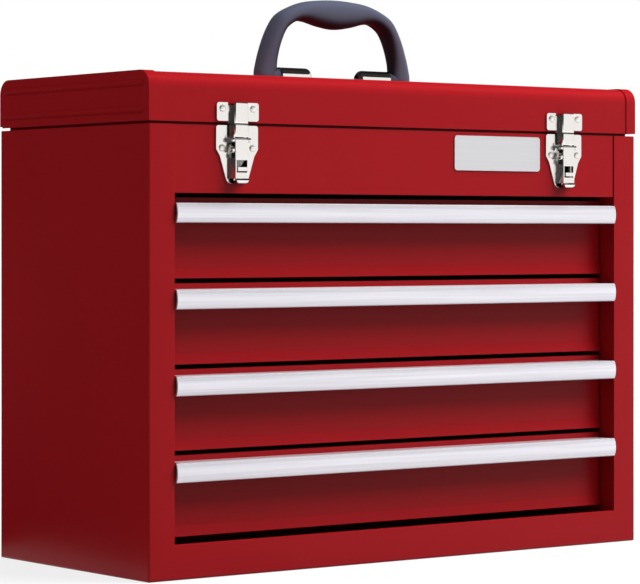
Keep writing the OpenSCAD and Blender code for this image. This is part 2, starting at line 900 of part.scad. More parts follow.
case_shell();
back_panel();
front_panel();
till_tray();
till_ledge();
upright_left();
upright_right();
cabinet_slide(1);  // cabinet_slide_1
cabinet_slide(2);  // cabinet_slide_2
cabinet_slide(3);  // cabinet_slide_3
cabinet_slide(4);  // cabinet_slide_4
name_plate();
case_rivets();
hinge_leaf_case();
hinge_pin();
latch_base_left();
latch_base_right();
latch_pin_left();
latch_pin_right();
latch_spring_left();
latch_spring_right();
lid_cover();
lid_end_left();
lid_end_right();
hinge_leaf_lid();
lid_rivets();
latch_keeper_left();
latch_keeper_right();
handle_saddle_left();
handle_saddle_right();
handle_grip();
handle_axle_left();
handle_axle_right();
latch_lever_left();
latch_lever_right();
latch_hook_left();
latch_hook_right();
drawer_pan(1);  // drawer_pan_1
drawer_pan(2);  // drawer_pan_2
drawer_pan(3);  // drawer_pan_3
drawer_pan(4);  // drawer_pan_4
drawer_front(1);  // drawer_front_1
drawer_front(2);  // drawer_front_2
drawer_front(3);  // drawer_front_3
drawer_front(4);  // drawer_front_4
drawer_pull(1);  // drawer_pull_1
drawer_pull(2);  // drawer_pull_2
drawer_pull(3);  // drawer_pull_3
drawer_pull(4);  // drawer_pull_4
drawer_slide(1);  // drawer_slide_1
drawer_slide(2);  // drawer_slide_2
drawer_slide(3);  // drawer_slide_3
drawer_slide(4);  // drawer_slide_4
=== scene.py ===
"""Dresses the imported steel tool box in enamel, plating and aluminium, in a plain studio."""

import math

import bmesh
import bpy
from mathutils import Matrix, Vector


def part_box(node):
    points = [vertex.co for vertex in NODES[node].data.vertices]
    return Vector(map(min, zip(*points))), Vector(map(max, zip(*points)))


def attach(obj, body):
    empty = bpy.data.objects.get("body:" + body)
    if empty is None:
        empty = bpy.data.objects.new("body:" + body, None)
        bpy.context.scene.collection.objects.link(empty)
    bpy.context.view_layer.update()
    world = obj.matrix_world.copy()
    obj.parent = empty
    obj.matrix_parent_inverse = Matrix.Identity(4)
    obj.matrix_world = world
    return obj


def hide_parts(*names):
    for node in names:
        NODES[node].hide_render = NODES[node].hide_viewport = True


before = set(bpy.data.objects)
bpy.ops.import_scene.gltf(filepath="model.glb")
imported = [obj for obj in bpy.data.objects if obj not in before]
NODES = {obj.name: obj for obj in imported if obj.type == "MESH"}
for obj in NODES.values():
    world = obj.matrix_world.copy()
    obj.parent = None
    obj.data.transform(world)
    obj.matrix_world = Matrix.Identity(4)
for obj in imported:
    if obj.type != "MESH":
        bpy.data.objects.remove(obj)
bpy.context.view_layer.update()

bl_info = {
    "name": "Steel tool box",
    "version": (1, 0, 0),
    "blender": (4, 5, 0),
    "location": "3D View > Sidebar > Tool box",
    "description": "Finishes a hand-carried steel tool box around its packed frame",
    "category": "Object",
}

MM = 0.001
SIDES = {"left": -1, "right": 1}
DRAWERS = (1, 2, 3, 4)
# Plain dark tones painted as shade: in the hollow of the latch channels, and on the back and hollow
# ends of the pulls.
CHANNEL_PAINTED_SHADE = (0.03, 0.03, 0.035)
PULL_PAINTED_SHADE = (0.05, 0.045, 0.045)
PIN_EDGE = 0.2 * MM


def low(node):
    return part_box(node)[0]


def high(node):
    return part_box(node)[1]


def middle(node):
    return (low(node) + high(node)) / 2


# ---------------------------------------------------------------- properties

class FinishSettings(bpy.types.PropertyGroup):
    enamel: bpy.props.FloatVectorProperty(
        name="Enamel", description="Colour of the outside enamel",
        default=(0.368, 0.0055, 0.0098), size=3, min=0, max=1, subtype="COLOR")
    inner_enamel: bpy.props.FloatVectorProperty(
        name="Inner enamel", description="Colour of the thinner coat on the inner sheets",
        default=(0.25, 0.005, 0.009), size=3, min=0, max=1, subtype="COLOR")
    grip: bpy.props.FloatVectorProperty(
        name="Grip", description="Colour of the moulded grip",
        default=(0.090, 0.097, 0.141), size=3, min=0, max=1, subtype="COLOR")
    nickel: bpy.props.FloatVectorProperty(
        name="Nickel", description="Colour of the plating on the latches and saddles",
        default=(0.86, 0.83, 0.80), size=3, min=0, max=1, subtype="COLOR")
    aluminium: bpy.props.FloatVectorProperty(
        name="Aluminium", description="Colour of the drawn aluminium pulls",
        default=(0.88, 0.86, 0.92), size=3, min=0, max=1, subtype="COLOR")
    plate: bpy.props.FloatVectorProperty(
        name="Plate", description="Colour of the bare plate on the front",
        default=(0.71, 0.70, 0.72), size=3, min=0, max=1, subtype="COLOR")
    zinc: bpy.props.FloatVectorProperty(
        name="Zinc", description="Colour of the zinc coat on slides and hinge",
        default=(0.52, 0.53, 0.53), size=3, min=0, max=1, subtype="COLOR")
    peel: bpy.props.FloatProperty(
        name="Orange peel", description="Strength of the ripple in the enamel",
        default=0.035, min=0, max=1, subtype="FACTOR")


class SheetSettings(bpy.types.PropertyGroup):
    edge: bpy.props.FloatProperty(
        name="Sheet edge", description="Radius that the enamel gives to a cut sheet edge",
        default=0.00032, min=0.0001, max=0.00045, subtype="DISTANCE")
    plated_edge: bpy.props.FloatProperty(
        name="Plated edge", description="Radius on the edges of the plated pressings and the plate",
        default=0.0003, min=0.0001, max=0.0006, subtype="DISTANCE")
    pull_edge: bpy.props.FloatProperty(
        name="Pull edge", description="Radius on the edges of the drawn pulls",
        default=0.00025, min=0.0001, max=0.0006, subtype="DISTANCE")
    hinge_edge: bpy.props.FloatProperty(
        name="Hinge edge", description="Radius on the edges of the thin hinge leaves",
        default=0.00015, min=0.0001, max=0.0003, subtype="DISTANCE")
    edge_steps: bpy.props.IntProperty(
        name="Edge steps", description="Faces across a rounded edge", default=2, min=1, max=4)


class LatchSettings(bpy.types.PropertyGroup):
    face: bpy.props.FloatProperty(
        name="Channel face", description="Width of the face of the raised channel",
        default=0.0124, min=0.010, max=0.014, subtype="DISTANCE")
    # The width of the painted shade in the hollow behind the channel's face.
    hollow: bpy.props.FloatProperty(
        name="Channel hollow", description="Width of the dark space behind the channel's face",
        default=0.0116, min=0.009, max=0.013, subtype="DISTANCE")
    corner: bpy.props.FloatProperty(
        name="Fold", description="Reach of the rounded folds of the channel",
        default=0.001, min=0.0004, max=0.0014, subtype="DISTANCE")
    wire: bpy.props.FloatProperty(
        name="Spring wire", description="Radius of the spring wire",
        default=0.0004, min=0.0003, max=0.00042, subtype="DISTANCE")
    coil: bpy.props.FloatProperty(
        name="Coil", description="Radius of the coil, to the middle of the wire",
        default=0.0026, min=0.0020, max=0.0028, subtype="DISTANCE")
    turns: bpy.props.FloatProperty(
        name="Spring turns", description="Turns of each coil", default=3.0, min=2.0, max=4.0)


class GripSettings(bpy.types.PropertyGroup):
    sides: bpy.props.IntProperty(
        name="Sides", description="Points round the section of the grip",
        default=44, min=16, max=96)


class StageSettings(bpy.types.PropertyGroup):
    lens: bpy.props.FloatProperty(
        name="Lens", description="Focal length of the camera, in millimetres",
        default=162.06, min=50, max=300)
    key: bpy.props.FloatProperty(
        name="Key light", description="Power of the large light at the front right, in watts",
        default=218.0, min=0, max=2000)
    fill: bpy.props.FloatProperty(
        name="Fill", description="Strength of the even light from all round",
        default=0.27, min=0, max=2)
    side: bpy.props.FloatProperty(
        name="Side light", description="Power of the soft light at the left, in watts",
        default=22.5, min=0, max=500)
    card_tone: bpy.props.FloatProperty(
        name="Card tone", description="Brightness of the dark cards that the metal reflects",
        default=0.03, min=0, max=1, subtype="FACTOR")


SETTINGS = {
    "finish": FinishSettings, "sheet": SheetSettings, "latch": LatchSettings,
    "grip": GripSettings, "stage": StageSettings,
}


def settings(group):
    return getattr(bpy.context.scene, "tool_box_" + group)


# ---------------------------------------------------------------- materials

def socket(group, name, way, kind, value=None):
    made = group.interface.new_socket(name=name, in_out=way, socket_type=kind)
    if value is not None:
        made.default_value = value


def node_in(tree, kind, **values):
    made = tree.nodes.new(kind)
    for key, value in values.items():
        if key in made.inputs:
            made.inputs[key].default_value = value
        else:
            setattr(made, key, value)
    return made


def link(tree, start, end):
    tree.links.new(start, end)


def noise_group(name, stretch, detail):
    """Noise on Object coordinates: a value that runs from Low to High, and a plain height."""
    group = bpy.data.node_groups.get(name)
    if group:
        return group
    group = bpy.data.node_groups.new(name, "ShaderNodeTree")
    socket(group, "Scale", "INPUT", "NodeSocketFloat", 100.0)
    socket(group, "Low", "INPUT", "NodeSocketFloat", 0.0)
    socket(group, "High", "INPUT", "NodeSocketFloat", 1.0)
    socket(group, "Value", "OUTPUT", "NodeSocketFloat")
    socket(group, "Height", "OUTPUT", "NodeSocketFloat")
    start = group.nodes.new("NodeGroupInput")
    end = group.nodes.new("NodeGroupOutput")
    where = group.nodes.new("ShaderNodeTexCoord")
    turn = node_in(group, "ShaderNodeMapping", Scale=stretch)
    noise = node_in(group, "ShaderNodeTexNoise", Detail=detail, Roughness=0.55)
    spread = node_in(group, "ShaderNodeMapRange")
    link(group, where.outputs["Object"], turn.inputs["Vector"])
    link(group, turn.outputs["Vector"], noise.inputs["Vector"])
    link(group, start.outputs["Scale"], noise.inputs["Scale"])
    link(group, noise.outputs["Fac"], spread.inputs["Value"])
    link(group, start.outputs["Low"], spread.inputs["To Min"])
    link(group, start.outputs["High"], spread.inputs["To Max"])
    link(group, spread.outputs["Result"], end.inputs["Value"])
    link(group, noise.outputs["Fac"], end.inputs["Height"])
    return group


def even_grain():
    return noise_group("even_grain", (1, 1, 1), 3.0)


def drawn_streaks():
    return noise_group("drawn_streaks", (0.012, 1, 1), 4.0)


def placed(tree, group, **values):
    made = tree.nodes.new("ShaderNodeGroup")
    made.node_tree = group
    for key, value in values.items():
        made.inputs[key].default_value = value
    return made


def shaded(tree, colour, mask, plain, masked):
    """The colour, times one strength where the mask is 0 and times another where it is 1."""
    mix = node_in(tree, "ShaderNodeMix", data_type="RGBA")
    mix.inputs["A"].default_value = (*[min(1, c * plain) for c in colour], 1)
    mix.inputs["B"].default_value = (*[min(1, c * masked) for c in colour], 1)
    link(tree, mask, mix.inputs["Factor"])
    return mix.outputs["Result"]


def with_painted_shade(tree, colour, mask, tone):
    """The colour, replaced by a plain dark tone where the mask is set: painted shade."""
    mix = node_in(tree, "ShaderNodeMix", data_type="RGBA")
    mix.inputs["B"].default_value = (*tone, 1)
    link(tree, colour, mix.inputs["A"])
    link(tree, mask, mix.inputs["Factor"])
    return mix.outputs["Result"]


def bumped(tree, height, shader, strength, distance):
    bump = node_in(tree, "ShaderNodeBump", Strength=strength, Distance=distance)
    link(tree, height, bump.inputs["Height"])
    link(tree, bump.outputs["Normal"], shader.inputs["Normal"])


def new_material(name):
    """A material, its tree and its shader; the last two are None when it was made before."""
    made = bpy.data.materials.get(name)
    if made:
        return made, None, None
    made = bpy.data.materials.new(name)
    made.use_nodes = True
    tree = made.node_tree
    return made, tree, tree.nodes["Principled BSDF"]


def enamel(name, colour, rough):
    """Baked enamel with a faint ripple and a slow drift of tone."""
    made, tree, shader = new_material(name)
    if tree is None:
        return made
    slow = placed(tree, even_grain(), Scale=9.0)
    ripple = placed(tree, even_grain(), Scale=420.0, Low=rough[0], High=rough[1])
    toned = shaded(tree, colour, slow.outputs["Value"], 0.96, 1.04)
    link(tree, toned, shader.inputs["Base Color"])
    link(tree, ripple.outputs["Value"], shader.inputs["Roughness"])
    bumped(tree, ripple.outputs["Height"], shader,
           strength=settings("finish").peel, distance=0.4 * MM)
    shader.inputs["Specular IOR Level"].default_value = 0.16
    return made


def channel_depth():
    """A mask on Object coordinates of the hollow behind the face of both latch channels, where
    painted shade goes.
    """
    group = bpy.data.node_groups.get("channel_depth")
    if group:
        return group
    group = bpy.data.node_groups.new("channel_depth", "ShaderNodeTree")
    socket(group, "Middle", "INPUT", "NodeSocketFloat", 0.175)
    socket(group, "Half width", "INPUT", "NodeSocketFloat", 0.006)
    socket(group, "Front", "INPUT", "NodeSocketFloat", -0.12)
    socket(group, "Value", "OUTPUT", "NodeSocketFloat")
    start = group.nodes.new("NodeGroupInput")
    end = group.nodes.new("NodeGroupOutput")
    where = group.nodes.new("ShaderNodeTexCoord")
    parts = group.nodes.new("ShaderNodeSeparateXYZ")
    across = node_in(group, "ShaderNodeMath", operation="ABSOLUTE")
    off = node_in(group, "ShaderNodeMath", operation="SUBTRACT")
    away = node_in(group, "ShaderNodeMath", operation="ABSOLUTE")
    between = node_in(group, "ShaderNodeMath", operation="LESS_THAN")
    behind = node_in(group, "ShaderNodeMath", operation="SUBTRACT")
    deep = node_in(group, "ShaderNodeMapRange", **{"From Min": 1.6 * MM, "From Max": 2.2 * MM})
    both = node_in(group, "ShaderNodeMath", operation="MULTIPLY")
    link(group, where.outputs["Object"], parts.inputs["Vector"])
    link(group, parts.outputs["X"], across.inputs[0])
    link(group, across.outputs[0], off.inputs[0])
    link(group, start.outputs["Middle"], off.inputs[1])
    link(group, off.outputs[0], away.inputs[0])
    link(group, away.outputs[0], between.inputs[0])
    link(group, start.outputs["Half width"], between.inputs[1])
    link(group, parts.outputs["Y"], behind.inputs[0])
    link(group, start.outputs["Front"], behind.inputs[1])
    link(group, behind.outputs[0], deep.inputs["Value"])
    link(group, between.outputs[0], both.inputs[0])
    link(group, deep.outputs["Result"], both.inputs[1])
    link(group, both.outputs[0], end.inputs["Value"])
    return group


def plated(name, colour, rough, wave, wave_scale, hollow=None, metal=1.0):
    """Bright plating over pressed steel, slightly wavy from the press, with painted shade in the
    hollow when one is given.
    """
    made, tree, shader = new_material(name)
    if tree is None:
        return made
    wavy = placed(tree, even_grain(), Scale=wave_scale)
    haze = placed(tree, even_grain(), Scale=900.0, Low=rough[0], High=rough[1])
    bright = shaded(tree, colour, haze.outputs["Height"], 0.95, 1.05)
    # Painted shade: the hollow behind the channel's face takes a plain dark tone.
    if hollow:
        depth = placed(tree, channel_depth(), **hollow)
        bright = with_painted_shade(tree, bright, depth.outputs["Value"], CHANNEL_PAINTED_SHADE)
    link(tree, bright, shader.inputs["Base Color"])
    link(tree, haze.outputs["Value"], shader.inputs["Roughness"])
    bumped(tree, wavy.outputs["Height"], shader, strength=wave, distance=0.8 * MM)
    shader.inputs["Metallic"].default_value = metal
    return made


def drawn_aluminium(name, colour, rough, metal, streak):
    """Satin aluminium with fine lines along its length, and painted shade where "inside" is set."""
    made, tree, shader = new_material(name)
    if tree is None:
        return made
    broad = placed(tree, drawn_streaks(), Scale=700.0, Low=rough[0], High=rough[1])
    lines = placed(tree, drawn_streaks(), Scale=520.0, Low=-0.8, High=1.8)
    fine = placed(tree, drawn_streaks(), Scale=3200.0)
    # Painted shade on the faces of the pull that look back at the drawer or into its hollow ends.
    inside = node_in(tree, "ShaderNodeAttribute", attribute_name="inside")
    streaked = shaded(tree, colour, lines.outputs["Value"], 1 - streak, 1 + streak / 2)
    toned = with_painted_shade(tree, streaked, inside.outputs["Fac"], PULL_PAINTED_SHADE)
    link(tree, toned, shader.inputs["Base Color"])
    link(tree, broad.outputs["Value"], shader.inputs["Roughness"])
    bumped(tree, fine.outputs["Height"], shader, strength=0.12, distance=0.1 * MM)
    shader.inputs["Metallic"].default_value = metal
    return made


def moulded_grip(name, colour):
    """Dark moulded plastic with a fine spark-eroded grain, and painted shade on the inner side that
    faces the hand space.
    """
    made, tree, shader = new_material(name)
    if tree is None:
        return made
    palm = node_in(tree, "ShaderNodeAttribute", attribute_name="palm")
    grain = placed(tree, even_grain(), Scale=1700.0, Low=0.40, High=0.54)
    # Painted shade: the inner side of the grip, facing the hand space, is darkened.
    toned = shaded(tree, colour, palm.outputs["Fac"], 1.0, 0.16)
    link(tree, toned, shader.inputs["Base Color"])
    link(tree, grain.outputs["Value"], shader.inputs["Roughness"])
    bumped(tree, grain.outputs["Height"], shader, strength=0.22, distance=0.12 * MM)
    shader.inputs["Specular IOR Level"].default_value = 0.2
    return made


def materials():
    """Every finish of the tool box, by name."""
    f = settings("finish")
    # Where the painted shade in the latch channels lies.
    hollow = {"Middle": middle("latch_lever_right").x,
              "Half width": settings("latch").hollow / 2,
              "Front": low("latch_keeper_left").y}
    return {
        "enamel": enamel("red_enamel", f.enamel, rough=(0.34, 0.42)),
        "inner_enamel": enamel("red_enamel_inside", f.inner_enamel, rough=(0.42, 0.52)),
        "nickel": plated("polished_nickel", f.nickel, rough=(0.05, 0.11),
                         wave=0.10, wave_scale=130.0),
        "zinc": plated("zinc_coat", f.zinc, rough=(0.28, 0.44), wave=0.06, wave_scale=300.0),
        "aluminium": drawn_aluminium("drawn_aluminium", f.aluminium, rough=(0.28, 0.42),
                                     metal=0.5, streak=0.12),
        "plate": drawn_aluminium("satin_plate", f.plate, rough=(0.34, 0.46),
                                 metal=0.8, streak=0.03),
        "pressed": plated("pressed_nickel", f.nickel, rough=(0.13, 0.2),
                          wave=0.06, wave_scale=90.0, hollow=hollow),
        "rivet": plated("tumbled_nickel", f.nickel, rough=(0.14, 0.22),
                        wave=0.08, wave_scale=260.0, metal=0.6),
        "grip": moulded_grip("moulded_grip", f.grip),
    }


# ---------------------------------------------------------------- mesh helpers

def sheet_copy(node):
    """A bmesh copy of a frame node, its loose triangles joined and its flat faces whole."""
    bm = bmesh.new()
    bm.from_mesh(NODES[node].data)
    bmesh.ops.remove_doubles(bm, verts=bm.verts, dist=2e-6)
    bmesh.ops.dissolve_limit(bm, angle_limit=math.radians(0.5), verts=bm.verts, edges=bm.edges)
    return bm


def close(bm):
    """Merges doubles and turns the faces outwards."""
    bmesh.ops.remove_doubles(bm, verts=bm.verts, dist=1e-7)
    bmesh.ops.recalc_face_normals(bm, faces=bm.faces)


def in_scene(name, data):
    made = bpy.data.objects.new(name, data)
    bpy.context.scene.collection.objects.link(made)
    return made


def piece_from(bm, name, material):
    mesh = bpy.data.meshes.new(name)
    bm.to_mesh(mesh)
    bm.free()
    return piece_of(mesh, name, material)


def piece_of(mesh, name, material):
    mesh.name = name
    mesh.materials.clear()
    mesh.materials.append(material)
    mesh.shade_smooth()
    return in_scene(name, mesh)


def round_edges(piece, width, steps, corner):
    """Rounds the edges that turn by more than the corner angle."""
    bevel = piece.modifiers.new("edge", "BEVEL")
    bevel.width = width
    bevel.segments = steps
    bevel.limit_method = "ANGLE"
    bevel.angle_limit = math.radians(corner)
    bevel.harden_normals = True
    bevel.miter_outer = "MITER_ARC"


def smooth(piece, corner=32):
    """Keeps only the edges sharp that turn by more than the corner angle."""
    piece.data.set_sharp_from_angle(angle=math.radians(corner))


def finish(piece, body, node):
    """Puts the piece on its body, in place of its frame node."""
    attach(piece, body)
    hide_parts(node)


def evaluated_mesh(piece):
    """The piece's mesh with its modifiers applied; the piece itself is removed."""
    graph = bpy.context.evaluated_depsgraph_get()
    mesh = bpy.data.meshes.new_from_object(piece.evaluated_get(graph))
    bpy.data.objects.remove(piece)
    return mesh


def grid_faces(bm, rows, rings=False):
    """Makes quads between rows of points, or between rings, and gives back their vertices."""
    verts = [[bm.verts.new(p) for p in row] for row in rows]
    for one, two in zip(verts, verts[1:]):
        for c in range(len(one) if rings else len(one) - 1):
            d = (c + 1) % len(one)
            bm.faces.new((one[c], one[d], two[d], two[c]))
    return verts


# ---------------------------------------------------------------- geometry nodes

def geometry_tree(name, inputs):
    """An empty geometry tree with a geometry in, a geometry out and the named inputs."""
    tree = bpy.data.node_groups.new(name, "GeometryNodeTree")
    socket(tree, "Geometry", "INPUT", "NodeSocketGeometry")
    for label, kind, value in inputs:
        socket(tree, label, "INPUT", kind, value)
    socket(tree, "Geometry", "OUTPUT", "NodeSocketGeometry")
    return tree, tree.nodes.new("NodeGroupInput"), tree.nodes.new("NodeGroupOutput")


def add_tree(piece, tree, values):
    """Puts the tree on the piece with its inputs set by identifier."""
    modifier = piece.modifiers.new(tree.name, "NODES")
    modifier.node_group = tree
    for item in tree.interface.items_tree:
        if item.item_type == "SOCKET" and item.in_out == "INPUT" and item.name in values:
            modifier[item.identifier] = values[item.name]


def rivet_tree():
    """One rivet on every point, turned to the point's facing and by a chance angle about it."""
    found = bpy.data.node_groups.get("rivets_on_points")
    if found:
        return found
    tree, start, end = geometry_tree("rivets_on_points", [
        ("Rivet", "NodeSocketObject", None),
        ("Scale", "NodeSocketFloat", 1.0),
        ("Seed", "NodeSocketInt", 7),
        ("Finish", "NodeSocketMaterial", None),
    ])
    facing = node_in(tree, "GeometryNodeInputNamedAttribute",
                     data_type="FLOAT_VECTOR", Name="facing")
    aim = node_in(tree, "FunctionNodeAlignRotationToVector", axis="Z")
    chance = node_in(tree, "FunctionNodeRandomValue", data_type="FLOAT_VECTOR",
                     Min=(0, 0, 0), Max=(0, 0, math.tau))
    spin = node_in(tree, "FunctionNodeRotateRotation", rotation_space="LOCAL")
    source = node_in(tree, "GeometryNodeObjectInfo", transform_space="ORIGINAL")
    instance = node_in(tree, "GeometryNodeInstanceOnPoints")
    real = tree.nodes.new("GeometryNodeRealizeInstances")
    paint = tree.nodes.new("GeometryNodeSetMaterial")
    angles = next(s for s in chance.outputs if s.type == "VECTOR")
    way = next(s for s in facing.outputs if s.type == "VECTOR")
    link(tree, way, aim.inputs["Vector"])
    link(tree, start.outputs["Seed"], chance.inputs["Seed"])
    link(tree, aim.outputs["Rotation"], spin.inputs["Rotation"])
    link(tree, angles, spin.inputs["Rotate By"])
    link(tree, start.outputs["Rivet"], source.inputs["Object"])
    link(tree, start.outputs["Geometry"], instance.inputs["Points"])
    link(tree, source.outputs["Geometry"], instance.inputs["Instance"])
    link(tree, spin.outputs["Rotation"], instance.inputs["Rotation"])
    link(tree, start.outputs["Scale"], instance.inputs["Scale"])
    link(tree, instance.outputs["Instances"], real.inputs["Geometry"])
    link(tree, real.outputs["Geometry"], paint.inputs["Geometry"])
    link(tree, start.outputs["Finish"], paint.inputs["Material"])
    link(tree, paint.outputs["Geometry"], end.inputs["Geometry"])
    return tree


def wire_tree():
    """A round wire along the edges of a mesh."""
    found = bpy.data.node_groups.get("wire_along_edges")
    if found:
        return found
    tree, start, end = geometry_tree("wire_along_edges", [
        ("Radius", "NodeSocketFloat", 0.0004),
        ("Sides", "NodeSocketInt", 10),
        ("Finish", "NodeSocketMaterial", None),
    ])
    path = tree.nodes.new("GeometryNodeMeshToCurve")
    ring = tree.nodes.new("GeometryNodeCurvePrimitiveCircle")
    sweep = node_in(tree, "GeometryNodeCurveToMesh", **{"Fill Caps": True})
    real = tree.nodes.new("GeometryNodeRealizeInstances")
    paint = tree.nodes.new("GeometryNodeSetMaterial")
    link(tree, start.outputs["Geometry"], path.inputs["Mesh"])
    link(tree, start.outputs["Sides"], ring.inputs["Resolution"])
    link(tree, start.outputs["Radius"], ring.inputs["Radius"])
    link(tree, path.outputs["Curve"], sweep.inputs["Curve"])
    link(tree, ring.outputs["Curve"], sweep.inputs["Profile Curve"])
    link(tree, sweep.outputs["Mesh"], real.inputs["Geometry"])
    link(tree, real.outputs["Geometry"], paint.inputs["Geometry"])
    link(tree, start.outputs["Finish"], paint.inputs["Material"])
    link(tree, paint.outputs["Geometry"], end.inputs["Geometry"])
    return tree


def edges_object(name, path):
    """A mesh of loose edges along a path of points."""
    mesh = bpy.data.meshes.new(name)
    mesh.from_pydata(path, [(i, i + 1) for i in range(len(path) - 1)], [])
    return in_scene(name, mesh)


def lathe(name, profile, sides=24):
    """A closed mesh from a profile of (radius, height) pairs that starts and ends on the axis."""
    bm = bmesh.new()
    rows = []
    for i in range(sides + 1):
        a = math.tau * i / sides
        rows.append([(r * math.cos(a), r * math.sin(a), z) for r, z in profile])
    grid_faces(bm, rows)
    close(bm)
    bmesh.ops.dissolve_degenerate(bm, dist=1e-7, edges=bm.edges)
    mesh = bpy.data.meshes.new(name)
    bm.to_mesh(mesh)
    bm.free()
    mesh.shade_smooth()
    made = in_scene(name, mesh)
    smooth(made, corner=40)
    return made


# ---------------------------------------------------------------- pieces

OUTSIDE_SHEETS = {
    "case_shell": "cabinet", "back_panel": "cabinet", "front_panel": "cabinet",
    "lid_cover": "lid", "lid_end_left": "lid", "lid_end_right": "lid",
}
INSIDE_SHEETS = {"till_tray": "cabinet", "till_ledge": "cabinet",
                 "upright_left": "cabinet", "upright_right": "cabinet"}


def dress(node, body, look, edge, steps, corner=30, mark=None):
    """Makes a copy of a frame node with its edges rounded, in the named finish."""
    bm = sheet_copy(node)
    if mark:
        mark(bm)
    piece = piece_from(bm, node + "_piece", materials()[look])
    smooth(piece)
    round_edges(piece, edge, steps, corner)
    finish(piece, body, node)


def mark_pull_shade(bm):
    """Stores which faces of a pull look back at the drawer or lie in its hollow ends, where painted
    shade goes.
    """
    layer = bm.faces.layers.float.new("inside")
    ends = max(v.co.x for v in bm.verts) - MM
    flange = max(v.co.y for v in bm.verts) - 2 * MM
    for face in bm.faces:
        place, way = face.calc_center_median(), face.normal
        set_back = abs(way.x) > 0.9 and abs(place.x) < ends
        on_flange = abs(way.z) < 0.7 and place.y > flange
        face[layer] = 1.0 if set_back or on_flange or way.y > 0.05 else 0.0


class TOOLBOX_OT_case(bpy.types.Operator):
    """Makes the enamelled sheets of the case and the lid"""
    bl_idname = "toolbox.case"
    bl_label = "Case and lid"

    def execute(self, context):
        s = settings("sheet")
        for node, body in OUTSIDE_SHEETS.items():
            dress(node, body, "enamel", s.edge, s.edge_steps)
        for node, body in INSIDE_SHEETS.items():
            dress(node, body, "inner_enamel", s.edge, 1)
        return {"FINISHED"}


class TOOLBOX_OT_drawers(bpy.types.Operator):
    """Makes the drawer pans, fronts, pulls and slides"""
    bl_idname = "toolbox.drawers"
    bl_label = "Drawers"

    def execute(self, context):
        s = settings("sheet")
        for n in DRAWERS:
            body = f"drawer_{n}"
            dress(f"drawer_front_{n}", body, "enamel", s.edge, s.edge_steps)
            dress(f"drawer_pan_{n}", body, "inner_enamel", s.edge, 1)
            dress(f"drawer_pull_{n}", body, "aluminium", s.pull_edge, 2, mark=mark_pull_shade)
            dress(f"drawer_slide_{n}", body, "zinc", s.edge, 1)
            dress(f"cabinet_slide_{n}", "cabinet", "zinc", s.edge, 1)
        return {"FINISHED"}


class TOOLBOX_OT_fittings(bpy.types.Operator):
    """Makes the hinge, the bare plate, the saddles and their axles"""
    bl_idname = "toolbox.fittings"
    bl_label = "Hinge, plate and saddles"

    def execute(self, context):
        s = settings("sheet")
        dress("hinge_leaf_case", "cabinet", "zinc", s.hinge_edge, 1)
        dress("hinge_leaf_lid", "lid", "zinc", s.hinge_edge, 1)
        dress("hinge_pin", "cabinet", "zinc", PIN_EDGE, 2)
        dress("name_plate", "cabinet", "plate", s.plated_edge, 3)
        for side in SIDES:
            dress(f"handle_saddle_{side}", "lid", "nickel", s.plated_edge, 2, corner=40)
            dress(f"handle_axle_{side}", "handle", "zinc", s.plated_edge, 2)
        return {"FINISHED"}


def mark_folds(bm, centre_x, half, face_y):
    """Marks the two long upright folds between the face of a channel and its walls."""
    weight = bm.edges.layers.float.new("bevel_weight_edge")
    near = 0.12 * MM
    for edge in bm.edges:
        on_fold = all(abs(abs(v.co.x - centre_x) - half) < near and abs(v.co.y - face_y) < near
                      for v in edge.verts)
        if on_fold and edge.is_manifold and edge.calc_face_angle() > math.radians(40):
            edge[weight] = 1.0


def dress_pressing(node, body):
    """Makes a latch pressing with wide folds along its channel and fine edges elsewhere."""
    latch = settings("latch")
    bm = sheet_copy(node)
    mark_folds(bm, middle(node).x, latch.face / 2, low("latch_keeper_left").y)
    piece = piece_from(bm, node + "_piece", materials()["pressed"])
    smooth(piece)
    fold = piece.modifiers.new("fold", "BEVEL")
    fold.limit_method = "WEIGHT"
    fold.width = latch.corner
    fold.segments = 4
    round_edges(piece, settings("sheet").plated_edge, 2, corner=35)
    finish(piece, body, node)


class TOOLBOX_OT_latches(bpy.types.Operator):
    """Makes the latch bases, keepers, levers, hooks and pins"""
    bl_idname = "toolbox.latches"
    bl_label = "Latches"

    def execute(self, context):
        for side in SIDES:
            for part, body in (("base", "cabinet"), ("pin", "cabinet"), ("keeper", "lid"),
                               ("lever", f"lever_{side}"), ("hook", f"hook_{side}")):
                dress_pressing(f"latch_{part}_{side}", body)
        return {"FINISHED"}


class TOOLBOX_OT_springs(bpy.types.Operator):
    """Winds the springs of both latches"""
    bl_idname = "toolbox.springs"
    bl_label = "Latch springs"

    def execute(self, context):
        latch = settings("latch")
        nickel = materials()["nickel"]
        for side in SIDES:
            node = f"latch_spring_{side}"
            path = edges_object(f"{node}_path", self.path(node, latch))
            add_tree(path, wire_tree(), {"Radius": latch.wire, "Sides": 10, "Finish": nickel})
            piece = piece_of(evaluated_mesh(path), f"{node}_piece", nickel)
            smooth(piece, corner=50)
            finish(piece, "cabinet", node)
        return {"FINISHED"}

    @staticmethod
    def path(node, latch, turn_steps=24):
        """The middle of the wire: a leg up to the sheet, the turns, and a leg down to it."""
        lo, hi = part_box(node)
        axis_y = lo.y + latch.coil + latch.wire
        axis_z = (lo.z + hi.z) / 2
        start, end = hi.x - latch.wire, lo.x + latch.wire
        steps = int(latch.turns * turn_steps)
        turns = []
        for i in range(steps + 1):
            a = math.tau * latch.turns * i / steps
            turns.append((start + (end - start) * i / steps, axis_y + latch.coil * math.cos(a),
                          axis_z - latch.coil * math.sin(a)))
        leg = (hi.z - lo.z) / 2 - latch.wire
        back = hi.y - latch.wire
        return [(start, back, axis_z + leg), *turns, (turns[-1][0], back, axis_z - leg)]


